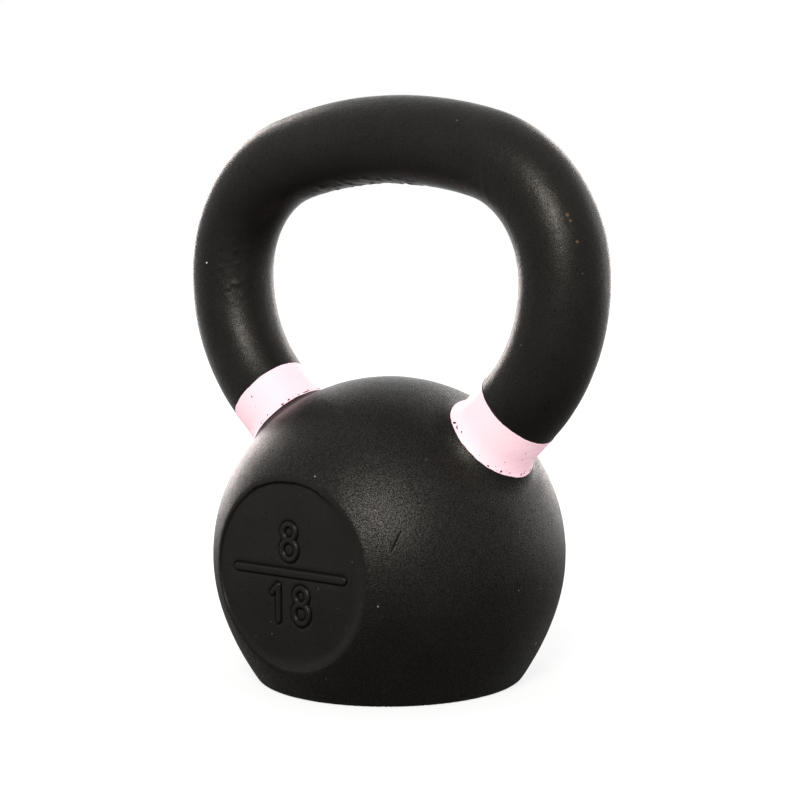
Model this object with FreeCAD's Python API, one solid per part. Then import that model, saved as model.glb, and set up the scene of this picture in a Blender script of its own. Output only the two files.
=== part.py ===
"""A one-piece cast-iron kettlebell with a textured powder coat and painted colour bands.

Every sub-part is written to parts/NAME.step, in millimetres.

Frame: +Z is up and the origin is the centre of the flat base, on the surface it stands on.
The handle's loop lies in the XZ plane, and the marked face looks along -Y.

The driving sizes describe the finished, coated surface. The iron lies one coat below it and
the painted bands lie on it, so each shape is built by a function that takes `grow`: how far
its surface lies outside the finished one, negative for inside.
"""

import FreeCAD, Part  # FreeCAD comes first: importing Part before it crashes

import math
import os

from FreeCAD import Vector

# Ball
BALL_RADIUS = 61.5
BALL_CENTRE_HEIGHT = 43.8
LOWER_START_ANGLE = 17.0  # degrees below the equator where the ball turns into the lower body
LOWER_RADIUS = 88.0  # radius of the flatter arc from there down to the base
BASE_EDGE_RADIUS = 3.0
GROUND_MARGIN = 1.0  # the coat is ground away from the base up to this far inside its flat

# Flat faces at the front and back, each with a shallow round pocket left by a mould insert
FACE_OFFSET = 52.2  # from the handle's plane to a flat face
POCKET_RADIUS = 30.8
POCKET_DEPTH = 0.6
POCKET_DROP = 0.5  # the pocket sits this far below the ball's centre
INSERT_SHIFT = -1.0  # the insert, with its pocket and marking, sits this far off centre along X

# Handle: a round bar bent into a loop whose two feet point at the ball's centre
BAR_RADIUS = 15.0
FOOT_ANGLE = 46.0  # between a foot's axis and the vertical
NECK_LENGTH = 15.5  # straight part of a foot, from the ball's surface
HORN_RADIUS = 58.0
HORN_SWEEP = 48.0
CORNER_RADIUS = 43.0
CORNER_SWEEP = 72.0
FOOT_FILLET = 11.0

# Coatings
COAT_THICKNESS = 0.25
BAND_THICKNESS = 0.2
BAND_FOOT_RADIUS = 16.9  # a band ends on the fillet, this far from the foot's axis
COAT_SPLIT = 10.0  # along a foot, from the ball's surface to where the coat's two shells meet

# Weight marking: raised numerals over and under a rule, on the front pocket's floor
MARK_RELIEF = 0.5
STROKE_WIDTH = 1.7
NUMERAL_HEIGHT = 13.5
NUMERAL_GAP = 3.2  # between two numerals in one row
ROW_GAP = 2.5  # between the rule and a row of numerals
RULE_LENGTH = 48.5
RULE_WIDTH = 2.4
MARK_ROOT = 1.0  # how deep the strokes reach into the iron behind the pocket's floor

UP = Vector(0, 0, 1)
OUT_OF_LOOP_PLANE = Vector(0, 1, 0)
ORIGIN = Vector(0, 0, 0)
BALL_CENTRE = Vector(0, 0, BALL_CENTRE_HEIGHT)
SIDES = (("right", 1), ("left", -1))
FAR = 4 * BALL_RADIUS  # further than anything in the part


def polar(centre, radius, degrees):
    """The point at that radius and angle above +X from a centre, in the XZ plane."""
    angle = math.radians(degrees)
    return centre + Vector(radius * math.cos(angle), 0, radius * math.sin(angle))


def arc(centre, radius, start, end):
    """An arc in the XZ plane between two angles in degrees."""
    points = [polar(centre, radius, a) for a in (start, (start + end) / 2, end)]
    return Part.Arc(*points).toShape()


def line(start, end):
    """A straight edge."""
    return Part.LineSegment(start, end).toShape()


def revolved(edges, point, axis):
    """The solid that a closed outline sweeps in a full turn about an axis."""
    outline = Part.Wire(Part.__sortEdges__(edges))
    return Part.Face(outline).revolve(point, axis, 360)


def lower_centre():
    """Centre of the lower body's arc: it continues the ball's surface without a crease."""
    return polar(BALL_CENTRE, BALL_RADIUS - LOWER_RADIUS, -LOWER_START_ANGLE)


def base_edge():
    """Centre of the base's rounded edge, and its angle from the lower arc's centre."""
    centre = lower_centre()
    reach = LOWER_RADIUS - BASE_EDGE_RADIUS
    angle = math.degrees(math.asin((BASE_EDGE_RADIUS - centre.z) / reach))
    return polar(centre, reach, angle), angle


def turned_ball(grow):
    """The ball without its flat faces, turned about Z from its outline."""
    edge_centre, edge_angle = base_edge()
    edge_radius = BASE_EDGE_RADIUS + grow
    top = polar(BALL_CENTRE, BALL_RADIUS + grow, 90)
    base_rim = polar(edge_centre, edge_radius, -90)
    base_middle = Vector(0, 0, base_rim.z)
    outline = [
        arc(BALL_CENTRE, BALL_RADIUS + grow, 90, -LOWER_START_ANGLE),
        arc(lower_centre(), LOWER_RADIUS + grow, -LOWER_START_ANGLE, edge_angle),
        arc(edge_centre, edge_radius, edge_angle, -90),
        line(base_rim, base_middle),
        line(base_middle, top),
    ]
    return revolved(outline, ORIGIN, UP)


def ground_pad():
    """The iron of the base that shows where the coat is ground away, flush with the coat."""
    rim = base_edge()[0].x - GROUND_MARGIN
    return Part.makeCylinder(rim, 2 * COAT_THICKNESS, ORIGIN, UP)


def face_cuts(grow):
    """What the two flat faces and their pockets take away from the ball."""
    cuts = []
    for side in (-1, 1):
        outward = OUT_OF_LOOP_PLANE * side
        plane = outward * (FACE_OFFSET + grow)
        corner = plane + Vector(-FAR / 2, min(0, side * FAR), -FAR / 2)
        cuts.append(Part.makeBox(FAR, FAR, FAR, corner))
        floor = BALL_CENTRE + outward * (FACE_OFFSET - POCKET_DEPTH + grow)
        floor += Vector(INSERT_SHIFT, 0, -POCKET_DROP)
        cuts.append(Part.makeCylinder(POCKET_RADIUS - grow, FAR, floor, outward))
    return cuts


def stroke_bar(start, end, width, grow):
    """The face of a straight stroke with round ends, in the XZ plane."""
    half = width / 2 + grow
    along = (end - start).normalize()
    across = along.cross(OUT_OF_LOOP_PLANE) * half
    outline = [
        line(start + across, end + across),
        Part.Arc(end + across, end + along * half, end - across).toShape(),
        line(end - across, start - across),
        Part.Arc(start - across, start - along * half, start + across).toShape(),
    ]
    return Part.Face(Part.Wire(outline))


def stroke_ring(centre, radius, grow):
    """The face of a round stroke whose middle line has that radius, in the XZ plane."""
    half = STROKE_WIDTH / 2 + grow
    rims = [Part.makeCircle(radius + s * half, centre, OUT_OF_LOOP_PLANE) for s in (1, -1)]
    outer, inner = [Part.Face(Part.Wire(rim)) for rim in rims]
    return outer.cut(inner)


def eight(foot, grow):
    """The strokes of an 8 whose lowest point is at foot: two rings that share a stroke."""
    lower_share = 0.54  # the lower ring is a little larger than the upper one
    both = (NUMERAL_HEIGHT - STROKE_WIDTH) / 2
    lower, upper = both * lower_share, both * (1 - lower_share)
    lower_middle = foot + UP * (lower + STROKE_WIDTH / 2)
    upper_middle = lower_middle + UP * (lower + upper)
    return [stroke_ring(lower_middle, lower, grow), stroke_ring(upper_middle, upper, grow)]


def one(foot, grow):
    """The strokes of a 1 whose lowest point is at foot: an upright and its flag."""
    flag_reach = NUMERAL_HEIGHT / 5
    bottom = foot + UP * (STROKE_WIDTH / 2)
    top = foot + UP * (NUMERAL_HEIGHT - STROKE_WIDTH / 2)
    flag = top - Vector(flag_reach, 0, flag_reach)
    return [stroke_bar(a, top, STROKE_WIDTH, grow) for a in (bottom, flag)]


def marking(grow):
    """The raised weight marking, from inside the iron to the top of its relief."""
    floor = FACE_OFFSET - POCKET_DEPTH
    row = RULE_WIDTH / 2 + ROW_GAP
    side_step = (NUMERAL_GAP + NUMERAL_HEIGHT / 2) / 2
    half_rule = Vector((RULE_LENGTH - RULE_WIDTH) / 2, 0, 0)
    middle = BALL_CENTRE + Vector(INSERT_SHIFT, 0, 0)
    lower_foot = middle - UP * (row + NUMERAL_HEIGHT)
    faces = [stroke_bar(middle - half_rule, middle + half_rule, RULE_WIDTH, grow)]
    faces += eight(middle + UP * row, grow)
    faces += one(lower_foot - Vector(side_step, 0, 0), grow)
    faces += eight(lower_foot + Vector(side_step, 0, 0), grow)
    strokes = []
    for face in faces:
        face.translate(OUT_OF_LOOP_PLANE * (MARK_ROOT - floor))
        strokes.append(face.extrude(OUT_OF_LOOP_PLANE * -(MARK_ROOT + MARK_RELIEF + grow)))
    return strokes[0].multiFuse(strokes[1:])


def foot_axis(side):
    """The direction of a foot, from the ball's centre outwards."""
    angle = math.radians(FOOT_ANGLE)
    return Vector(side * math.sin(angle), 0, math.cos(angle))


def foot_fillet():
    """Centre of a foot's fillet, with the foot upright, and its angle to the ball's centre."""
    rise = BAR_RADIUS + FOOT_FILLET
    reach = math.sqrt((BALL_RADIUS + FOOT_FILLET) ** 2 - rise**2)
    return BALL_CENTRE + Vector(rise, 0, reach), math.degrees(math.atan2(-reach, -rise))


def foot_outline(grow, length, start=None):
    """A foot's side with the foot upright: the fillet's arc, then the line up its neck.

    The arc begins at the ball, or at the angle start.
    """
    centre, to_ball = foot_fillet()
    to_ball = to_ball if start is None else start
    on_ball = polar(centre, FOOT_FILLET - grow, to_ball)
    on_neck = polar(centre, FOOT_FILLET - grow, -180)
    top = Vector(BAR_RADIUS + grow, 0, BALL_CENTRE_HEIGHT + BALL_RADIUS + length)
    edges = [arc(centre, FOOT_FILLET - grow, to_ball, -180), line(on_neck, top)]
    return on_ball, top, edges


def leaned(shape, side):
    """A shape made for an upright foot, turned about the ball's centre onto that side's foot."""
    shape.rotate(BALL_CENTRE, OUT_OF_LOOP_PLANE, side * FOOT_ANGLE)
    return shape


def foot(side, grow):
    """The root of a foot, from the ball's centre to where the coat's two shells meet."""
    on_ball, top, edges = foot_outline(grow, COAT_SPLIT)
    end = Vector(0, 0, top.z)
    edges += [line(top, end), line(end, BALL_CENTRE), line(BALL_CENTRE, on_ball)]
    return leaned(revolved(edges, ORIGIN, UP), side)


def bell(grow):
    """The ball with its flat faces, its marking and the roots of both handle feet."""
    solid = turned_ball(grow).cut(face_cuts(grow))
    extras = [foot(side, grow) for _, side in SIDES] + [marking(grow)]
    return solid.multiFuse(extras).removeSplitter()


def loop_arcs():
    """The bends of the right half of the bar, as (centre, radius, start, end) in degrees.

    Angles are of the radius, so the foot's axis starts the first bend at right angles to it.
    The last bend is the grip's own gentle crown, which ends level in the middle of the loop.
    """
    start = -FOOT_ANGLE
    point = BALL_CENTRE + foot_axis(1) * (BALL_RADIUS + NECK_LENGTH)
    bends = []
    for radius, sweep in ((HORN_RADIUS, HORN_SWEEP), (CORNER_RADIUS, CORNER_SWEEP)):
        centre = polar(point, -radius, start)
        bends.append((centre, radius, start, start + sweep))
        start += sweep
        point = polar(centre, radius, start)
    crown = point.x / math.cos(math.radians(start))
    bends.append((polar(point, -crown, start), crown, start, 90))
    return bends


def half_loop(grow):
    """The right half of the bar as a chain of solids, from the coat's split to the middle."""
    axis = foot_axis(1)
    radius = BAR_RADIUS + grow
    root = BALL_CENTRE + axis * (BALL_RADIUS + COAT_SPLIT)
    chain = [Part.makeCylinder(radius, NECK_LENGTH - COAT_SPLIT, root, axis)]
    for centre, bend, start, end in loop_arcs():
        tangent = polar(ORIGIN, 1, start + 90)
        ring = Part.Wire(Part.makeCircle(radius, polar(centre, bend, start), tangent))
        chain.append(Part.Face(ring).revolve(centre, -OUT_OF_LOOP_PLANE, end - start))
    return chain


def loop(grow):
    """The bar of the handle, from one foot's split to the other's."""
    right = half_loop(grow)
    left = [piece.mirror(ORIGIN, Vector(1, 0, 0)) for piece in right]
    return right[0].multiFuse(right[1:] + left).removeSplitter()


def band(side):
    """The paint on one foot: a sleeve around the neck that spreads over part of the fillet."""
    rise = BAR_RADIUS + FOOT_FILLET - BAND_FOOT_RADIUS
    start = math.degrees(math.acos(rise / FOOT_FILLET)) - 180
    inner_foot, inner_top, inner = foot_outline(0, NECK_LENGTH, start)
    outer_foot, outer_top, outer = foot_outline(BAND_THICKNESS, NECK_LENGTH, start)
    outline = inner + [line(inner_top, outer_top)] + outer + [line(outer_foot, inner_foot)]
    return leaned(revolved(outline, ORIGIN, UP), side)


def sub_parts():
    """Every sub-part of the kettlebell, by name."""
    bell_iron = bell(-COAT_THICKNESS).fuse(ground_pad())
    loop_iron = loop(-COAT_THICKNESS)
    parts = {
        "iron_casting": bell_iron.fuse(loop_iron).removeSplitter(),
        "bell_coat": bell(0).cut(bell_iron),
        "handle_coat": loop(0).cut(loop_iron),
    }
    parts.update({f"{name}_band": band(side) for name, side in SIDES})
    return parts


os.makedirs("parts", exist_ok=True)
for name, shape in sub_parts().items():
    solids = Part.makeCompound(shape.Solids) if len(shape.Solids) > 1 else shape.Solids[0]
    solids.exportStep(f"parts/{name}.step")
    print(f"{name}: {len(shape.Solids)} solid, {solids.Volume / 1000:.2f} cm3, valid {solids.isValid()}")
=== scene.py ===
"""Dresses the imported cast-iron kettlebell: its powder coat, painted bands and bare base.

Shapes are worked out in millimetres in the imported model's own frame and handed to Blender in
metres. The frame's +Z is up, the handle's loop lies in the XZ plane, and the marked face looks
along -Y.
"""

import logging
import math
from collections.abc import Callable
from dataclasses import dataclass
from enum import Enum

import bmesh
import bpy
import numpy as np
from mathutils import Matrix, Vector


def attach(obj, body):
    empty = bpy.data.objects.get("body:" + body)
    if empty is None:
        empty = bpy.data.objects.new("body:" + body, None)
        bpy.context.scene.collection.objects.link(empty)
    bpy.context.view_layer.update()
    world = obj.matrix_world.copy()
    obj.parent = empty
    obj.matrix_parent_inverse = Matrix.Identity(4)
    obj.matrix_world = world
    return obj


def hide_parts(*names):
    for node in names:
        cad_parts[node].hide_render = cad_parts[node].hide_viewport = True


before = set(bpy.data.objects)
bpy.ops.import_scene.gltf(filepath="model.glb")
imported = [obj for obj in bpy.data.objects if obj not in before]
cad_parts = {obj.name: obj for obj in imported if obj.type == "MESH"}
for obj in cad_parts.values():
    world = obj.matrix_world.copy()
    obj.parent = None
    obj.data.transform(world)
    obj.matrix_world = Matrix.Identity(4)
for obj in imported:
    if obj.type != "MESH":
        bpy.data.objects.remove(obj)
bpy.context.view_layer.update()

MM = 0.001
LOG = logging.getLogger("kettlebell")
FAR = 99.0  # Farther than any fine detail, in millimetres.


# Shape helpers


def soft_max(a: np.ndarray, b: np.ndarray, width: float) -> np.ndarray:
    """Keeps what two shapes share, with the edge between them softened.

    Args:
        a: Distances to the first shape.
        b: Distances to the second shape.
        width: How much the distances may differ where the softening starts.

    Returns:
        Distances to the shared shape.
    """
    near = np.maximum(width - np.abs(a - b), 0) / width
    return np.maximum(a, b) + near**2 * width / 4


def ease(low: float, high: float, value: np.ndarray) -> np.ndarray:
    """Rises smoothly from 0 at low to 1 at high."""
    t = np.clip((value - low) / (high - low), 0, 1)
    return t * t * (3 - 2 * t)


@dataclass(frozen=True)
class Lattice:
    """Smooth noise between -1 and 1 from a seeded block of random numbers."""

    seed: int
    cells: int = 48

    def at(self, points: np.ndarray, size: float) -> np.ndarray:
        """Samples the noise.

        Args:
            points: Places to sample, one row each, in millimetres.
            size: Width of one bump, in millimetres.

        Returns:
            One value per point.
        """
        block = np.random.default_rng(self.seed).uniform(-1, 1, (self.cells,) * 3)
        spot = points / size
        cell = np.floor(spot).astype(int)
        part = spot - cell
        part = part * part * (3 - 2 * part)
        total = np.zeros(len(points))
        for corner in np.ndindex(2, 2, 2):
            share = np.prod(np.where(corner, part, 1 - part), axis=1)
            total += share * block[tuple(((cell + corner) % self.cells).T)]
        return total


@dataclass(frozen=True)
class Skin:
    """A mesh as plain arrays, in millimetres."""

    points: np.ndarray
    faces: list[tuple[int, ...]]


# The finished form


@dataclass(frozen=True)
class BallForm:
    """The ball with its flat faces, base and handle feet, as a distance field."""

    radius: float = 61.5
    centre_height: float = 43.8
    lower_start: float = 17.0
    lower_radius: float = 88.0
    base_edge: float = 3.0
    ground_margin: float = 1.0
    face_offset: float = 52.2
    face_softness: float = 0.5
    bar_radius: float = 15.0
    foot_angle: float = 46.0
    foot_fillet: float = 11.0
    settle_rounds: int = 3

    def centre(self) -> np.ndarray:
        """The ball's centre."""
        return np.array([0.0, 0.0, self.centre_height])

    def foot_axis(self, side: int) -> np.ndarray:
        """The direction in which that side's foot leaves the ball."""
        angle = math.radians(self.foot_angle)
        return np.array([side * math.sin(angle), 0.0, math.cos(angle)])

    def lower_centre(self) -> tuple[float, float]:
        """Where the lower body's arc is centred.

        Returns:
            Its distance from the Z axis, and its height.
        """
        drop = math.radians(self.lower_start)
        shift = self.lower_radius - self.radius
        return -shift * math.cos(drop), self.centre_height + shift * math.sin(drop)

    def base_rim(self) -> float:
        """The radius of the flat part of the base.

        Returns:
            That radius, in millimetres.
        """
        across, height = self.lower_centre()
        reach = self.lower_radius - self.base_edge
        return across + math.sqrt(reach**2 - (height - self.base_edge) ** 2)

    def turned(self, points: np.ndarray) -> np.ndarray:
        """Distances to the turned body, before the flat faces and the feet.

        Args:
            points: Places to measure from, one row each.

        Returns:
            Signed distances, negative inside.
        """
        out = np.hypot(points[:, 0], points[:, 1])
        up = points[:, 2]
        across, height = self.lower_centre()
        rise = up - self.centre_height
        ball = np.hypot(out, rise) - self.radius
        lower = np.hypot(out - across, up - height) - self.lower_radius
        rim = self.base_rim()
        edge = np.hypot(out - rim, up - self.base_edge) - self.base_edge
        base = np.where(out > rim, edge, -up)
        slope = (self.base_edge - height) / (rim - across)
        side = np.where(rise < -out * math.tan(math.radians(self.lower_start)), lower, ball)
        return np.where(up - height < slope * (out - across), base, side)

    def fillet_centre(self) -> tuple[float, float]:
        """Where a foot's fillet is centred: its distance from the foot's axis, and along it."""
        rise = self.bar_radius + self.foot_fillet
        return rise, math.sqrt((self.radius + self.foot_fillet) ** 2 - rise**2)

    def with_foot(self, body: np.ndarray, points: np.ndarray, side: int, length: float) -> np.ndarray:
        """Adds one foot's round neck and its fillet to a body.

        Args:
            body: Distances to the body.
            points: The places they were measured from, one row each.
            side: 1 for the right foot, -1 for the left.
            length: How far the neck reaches beyond the ball's surface.

        Returns:
            Signed distances to the body with its foot, negative inside.
        """
        axis = self.foot_axis(side)
        reach = points - self.centre()
        along = reach @ axis
        off = np.linalg.norm(reach - along[:, None] * axis, axis=1)
        neck = np.maximum(off - self.bar_radius, along - self.radius - length)
        joined = np.where(along > self.radius / 2, np.minimum(body, neck), body)
        rise, height = self.fillet_centre()
        across, down = rise - off, height - along
        lean = rise / (self.radius + self.foot_fillet)
        fillet = (down > 0) & (across > down * lean / math.sqrt(1 - lean**2))
        fillet &= off > self.bar_radius / 2
        return np.where(fillet, np.minimum(joined, self.foot_fillet - np.hypot(across, down)), joined)

    def face_edge(self, points: np.ndarray) -> np.ndarray:
        """Distances outwards from the round edge of the flat faces, seen square on."""
        face_radius = math.sqrt(self.radius**2 - self.face_offset**2)
        return np.hypot(points[:, 0], points[:, 2] - self.centre_height) - face_radius

    def distance(self, points: np.ndarray, neck: float) -> np.ndarray:
        """Distances to the whole bell, with its necks cut off square.

        Args:
            points: Places to measure from, one row each.
            neck: How far the necks reach beyond the ball's surface.

        Returns:
            Signed distances, negative inside.
        """
        faces = np.abs(points[:, 1]) - self.face_offset
        body = soft_max(self.turned(points), faces, self.face_softness)
        for side in (-1, 1):
            body = self.with_foot(body, points, side, neck)
        return body

    def normals(self, points: np.ndarray, neck: float) -> np.ndarray:
        """The outward directions of the bell's surface.

        Args:
            points: Places near the surface, one row each.
            neck: How far the necks reach beyond the ball's surface.

        Returns:
            One unit vector per point.
        """
        step = 0.01
        slopes = [
            self.distance(points + d, neck) - self.distance(points - d, neck)
            for d in np.eye(3) * step
        ]
        slope = np.stack(slopes, axis=1)
        return slope / np.maximum(np.linalg.norm(slope, axis=1), 1e-9)[:, None]

    def settled(self, points: np.ndarray, neck: float) -> np.ndarray:
        """Moves points onto the bell's surface.

        Args:
            points: Places near the surface, one row each.
            neck: How far the necks reach beyond the ball's surface.

        Returns:
            The moved points.
        """
        for _ in range(self.settle_rounds):
            gap = self.distance(points, neck)
            points = points - gap[:, None] * self.normals(points, neck)
        return points


@dataclass(frozen=True)
class LoopForm:
    """The bar of the handle: a round bar along a chain of bends."""

    ball: BallForm
    neck_length: float = 15.5
    horn_radius: float = 58.0
    horn_sweep: float = 48.0
    corner_radius: float = 43.0
    corner_sweep: float = 72.0
    coarse_step: float = 4.0

    def right_half(self, start: float, step: float) -> np.ndarray:
        """The bar's middle line from the right foot to the middle of the grip.

        Args:
            start: Where it starts, in distance along the foot from the ball's surface.
            step: Distance between points.

        Returns:
            Points in the XZ plane, one row each.
        """
        axis = self.ball.foot_axis(1)[[0, 2]]
        centre = self.ball.centre()[[0, 2]]
        count = max(2, round((self.neck_length - start) / step) + 1)
        along = np.linspace(start, self.neck_length, count) + self.ball.radius
        runs = [centre + along[:, None] * axis]
        turn = -self.ball.foot_angle
        bends = [(self.horn_radius, self.horn_sweep), (self.corner_radius, self.corner_sweep)]
        for radius, sweep in bends:
            runs.append(self.bend(runs[-1][-1], radius, turn, turn + sweep, step))
            turn += sweep
        crown = runs[-1][-1][0] / math.cos(math.radians(turn))
        runs.append(self.bend(runs[-1][-1], crown, turn, 90, step))
        return np.concatenate([runs[0], *(run[1:] for run in runs[1:])])

    @staticmethod
    def bend(begin: np.ndarray, radius: float, start: float, end: float, step: float) -> np.ndarray:
        """One bend of the middle line.

        Args:
            begin: The point where the bend begins.
            radius: The bend's radius.
            start: Angle of that point from the bend's centre, in degrees.
            end: Angle of the bend's last point, in degrees.
            step: Distance between points.

        Returns:
            The bend's points, the first one included.
        """
        count = max(2, round(radius * math.radians(end - start) / step) + 1)
        angles = np.radians(np.linspace(start, end, count))
        circle = radius * np.stack([np.cos(angles), np.sin(angles)], axis=1)
        return begin - circle[0] + circle

    def distance(self, points: np.ndarray) -> np.ndarray:
        """Distances to the bar's surface, from its middle line in coarse steps.

        Args:
            points: Places to measure from, one row each.

        Returns:
            Signed distances, negative inside.
        """
        line = self.middle_line(0.0, self.coarse_step)
        nearest = np.full(len(points), np.inf)
        for begin, end in zip(line[:-1], line[1:], strict=True):
            run = end - begin
            share = np.clip((points - begin) @ run / (run @ run), 0, 1)
            gap = points - begin - share[:, None] * run
            nearest = np.minimum(nearest, (gap * gap).sum(axis=1))
        return np.sqrt(nearest) - self.ball.bar_radius

    def middle_line(self, start: float, step: float) -> np.ndarray:
        """The bar's whole middle line, from the right foot over the grip to the left foot.

        Args:
            start: Where it starts and ends, in distance along each foot from the ball's surface.
            step: Distance between points.

        Returns:
            Points in space, one row each.
        """
        right = self.right_half(start, step)
        left = right[-2::-1] * [-1, 1]
        line = np.concatenate([right, left])
        return np.stack([line[:, 0], np.zeros(len(line)), line[:, 1]], axis=1)


@dataclass(frozen=True)
class Marking:
    """The raised weight marking: numerals over and under a rule, in a plain round hand."""

    ball: BallForm
    relief: float = 0.5
    stroke: float = 1.7
    numeral_height: float = 13.5
    numeral_gap: float = 3.2
    row_gap: float = 2.5
    rule_length: float = 48.5
    rule_width: float = 2.4
    lower_share: float = 0.54
    shift: float = -1.0
    draft: float = 0.36
    moat_width: float = 0.7
    moat_depth: float = 0.2

    def bar(self, spots: np.ndarray, start: np.ndarray, end: np.ndarray, width: float) -> np.ndarray:
        """Distances to a straight stroke with round ends.

        Args:
            spots: Places on the face, as rows of x and height.
            start: The middle of the stroke's first end.
            end: The middle of its other end.
            width: The stroke's width.

        Returns:
            Distances to its outline, negative inside.
        """
        run = end - start
        share = np.clip((spots - start) @ run / (run @ run), 0, 1)
        return np.linalg.norm(spots - start - share[:, None] * run, axis=1) - width / 2

    def ring(self, spots: np.ndarray, centre: np.ndarray, radius: float) -> np.ndarray:
        """Distances to a round stroke."""
        return np.abs(np.linalg.norm(spots - centre, axis=1) - radius) - self.stroke / 2

    def eight(self, spots: np.ndarray, foot: np.ndarray) -> np.ndarray:
        """Distances to an 8: two rings, the upper one smaller.

        Args:
            spots: Places on the face, as rows of x and height.
            foot: The numeral's lowest point.

        Returns:
            Distances to its outline, negative inside.
        """
        both = (self.numeral_height - self.stroke) / 2
        lower, upper = both * self.lower_share, both * (1 - self.lower_share)
        low = foot + [0, lower + self.stroke / 2]
        high = low + [0, lower + upper]
        return np.minimum(self.ring(spots, low, lower), self.ring(spots, high, upper))

    def one(self, spots: np.ndarray, foot: np.ndarray) -> np.ndarray:
        """Distances to a 1: an upright with a short flag.

        Args:
            spots: Places on the face, as rows of x and height.
            foot: The numeral's lowest point.

        Returns:
            Distances to its outline, negative inside.
        """
        flag = self.numeral_height / 5
        top = foot + [0, self.numeral_height - self.stroke / 2]
        upright = self.bar(spots, foot + [0, self.stroke / 2], top, self.stroke)
        return np.minimum(upright, self.bar(spots, top - [flag, flag], top, self.stroke))

    def outline(self, spots: np.ndarray) -> np.ndarray:
        """Distances to the whole marking's outline.

        Args:
            spots: Places on the face, as rows of x and height.

        Returns:
            Distances, negative inside the strokes.
        """
        middle = self.ball.centre()[[0, 2]] + [self.shift, 0]
        row = self.rule_width / 2 + self.row_gap
        side = (self.numeral_gap + self.numeral_height / 2) / 2
        half = np.array([(self.rule_length - self.rule_width) / 2, 0])
        low = middle - [0, row + self.numeral_height]
        strokes = [
            self.bar(spots, middle - half, middle + half, self.rule_width),
            self.eight(spots, middle + [0, row]),
            self.one(spots, low - [side, 0]),
            self.eight(spots, low + [side, 0]),
        ]
        return np.min(strokes, axis=0)

    def moat(self, outline: np.ndarray) -> np.ndarray:
        """The share of the moat's depth, from the distances to the marking's outline."""
        return np.exp(-(((outline - self.moat_width / 2) / (self.moat_width / 2)) ** 2))

    def height(self, outline: np.ndarray) -> np.ndarray:
        """How far the face stands out, from the distances to the marking's outline."""
        raised = self.relief * (1 - ease(-self.draft, self.draft, outline))
        return raised - self.moat_depth * self.moat(outline)


@dataclass(frozen=True)
class Pocket:
    """The shallow round pocket in each flat face."""

    ball: BallForm
    radius: float = 30.8
    depth: float = 0.6
    drop: float = 0.5
    shift: float = -1.0
    draft: float = 0.35
    low_draft: float = 2.4
    torn: float = 0.45
    torn_size: float = 3.0
    torn_rise: tuple[float, float] = (0.6, 0.95)
    # where the painted shade at the foot of the rim lies
    ledge_rise: tuple[float, float] = (0.68, 0.94)
    ledge_side: tuple[float, float] = (0.3, 0.8)
    side_share: float = 0.2
    ledge_width: float = 0.45
    seed: int = 23

    def rim(self, points: np.ndarray) -> np.ndarray:
        """Distances outwards from the pocket's rim, which is a little torn at the top.

        Args:
            points: Places on a flat face, one row each.

        Returns:
            Signed distances, negative inside the pocket.
        """
        rise = points[:, 2] - self.ball.centre_height + self.drop
        rough = Lattice(self.seed).at(points, self.torn_size)
        torn = self.torn * rough * ease(*self.torn_rise, rise / self.radius)
        return np.hypot(points[:, 0] - self.shift, rise) - self.radius + torn

    def crisp(self, points: np.ndarray) -> np.ndarray:
        """How crisp the rim is: 1 at the top and towards -X, fading to 0 at the lower right."""
        rise = points[:, 2] - self.ball.centre_height
        return ease(-0.3, 0.5, (rise - points[:, 0]) / (math.sqrt(2) * self.radius))

    def height(self, points: np.ndarray) -> np.ndarray:
        """How far the floor stands out from its face: negative inside the rim."""
        draft = self.low_draft + (self.draft - self.low_draft) * self.crisp(points)
        return -self.depth * (1 - ease(0, 1, (self.rim(points) + draft) / (2 * draft)))

    def ledge_shadow(self, points: np.ndarray) -> np.ndarray:
        """How much painted shade lies at the foot of the rim's wall: most at the top, a little towards
        -X.

        Args:
            points: Places on a flat face, one row each.

        Returns:
            Shares of the full shade, from 0 to 1.
        """
        rise = (points[:, 2] - self.ball.centre_height) / self.radius
        side = self.side_share * ease(*self.ledge_side, -points[:, 0] / self.radius)
        share = np.maximum(ease(*self.ledge_rise, rise), side)
        return share * np.exp(-((self.rim(points) / self.ledge_width) ** 2))


@dataclass(frozen=True)
class Scratch:
    """A fine scratch in the coat of the ball."""

    start: tuple[float, float, float] = (39.9, -43.6, 60.7)
    end: tuple[float, float, float] = (38.4, -46.9, 54.3)
    width: float = 0.28
    depth: float = 0.12

    def away(self, points: np.ndarray) -> np.ndarray:
        """Distances to the scratch's middle line.

        Args:
            points: Places near the surface, one row each.

        Returns:
            One distance per point.
        """
        begin, run = np.array(self.start), np.array(self.end) - np.array(self.start)
        share = np.clip((points - begin) @ run / (run @ run), 0, 1)
        return np.linalg.norm(points - begin - share[:, None] * run, axis=1)

    def share(self, points: np.ndarray) -> np.ndarray:
        """The share of the scratch's depth at each point."""
        return np.exp(-((self.away(points) / self.width) ** 2))


@dataclass(frozen=True)
class SandCast:
    """The unevenness that sand moulding and fettling leave under the coat."""

    broad: float = 0.07
    broad_size: float = 19.0
    fine: float = 0.035
    fine_size: float = 4.2
    ground_from: float = 0.3
    ground_height: float = 7.0
    seed: int = 11

    def height(self, points: np.ndarray) -> np.ndarray:
        """How far the surface lies under the finished one, fading out at the ground base.

        Args:
            points: Places on the finished surface, one row each.

        Returns:
            One height per point, never above 0.
        """
        broad = Lattice(self.seed).at(points, self.broad_size) * self.broad
        fine = Lattice(self.seed + 1).at(points, self.fine_size) * self.fine
        above_ground = ease(self.ground_from, self.ground_height, points[:, 2])
        return (broad + fine - self.broad - self.fine) * above_ground


# Meshes


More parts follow.
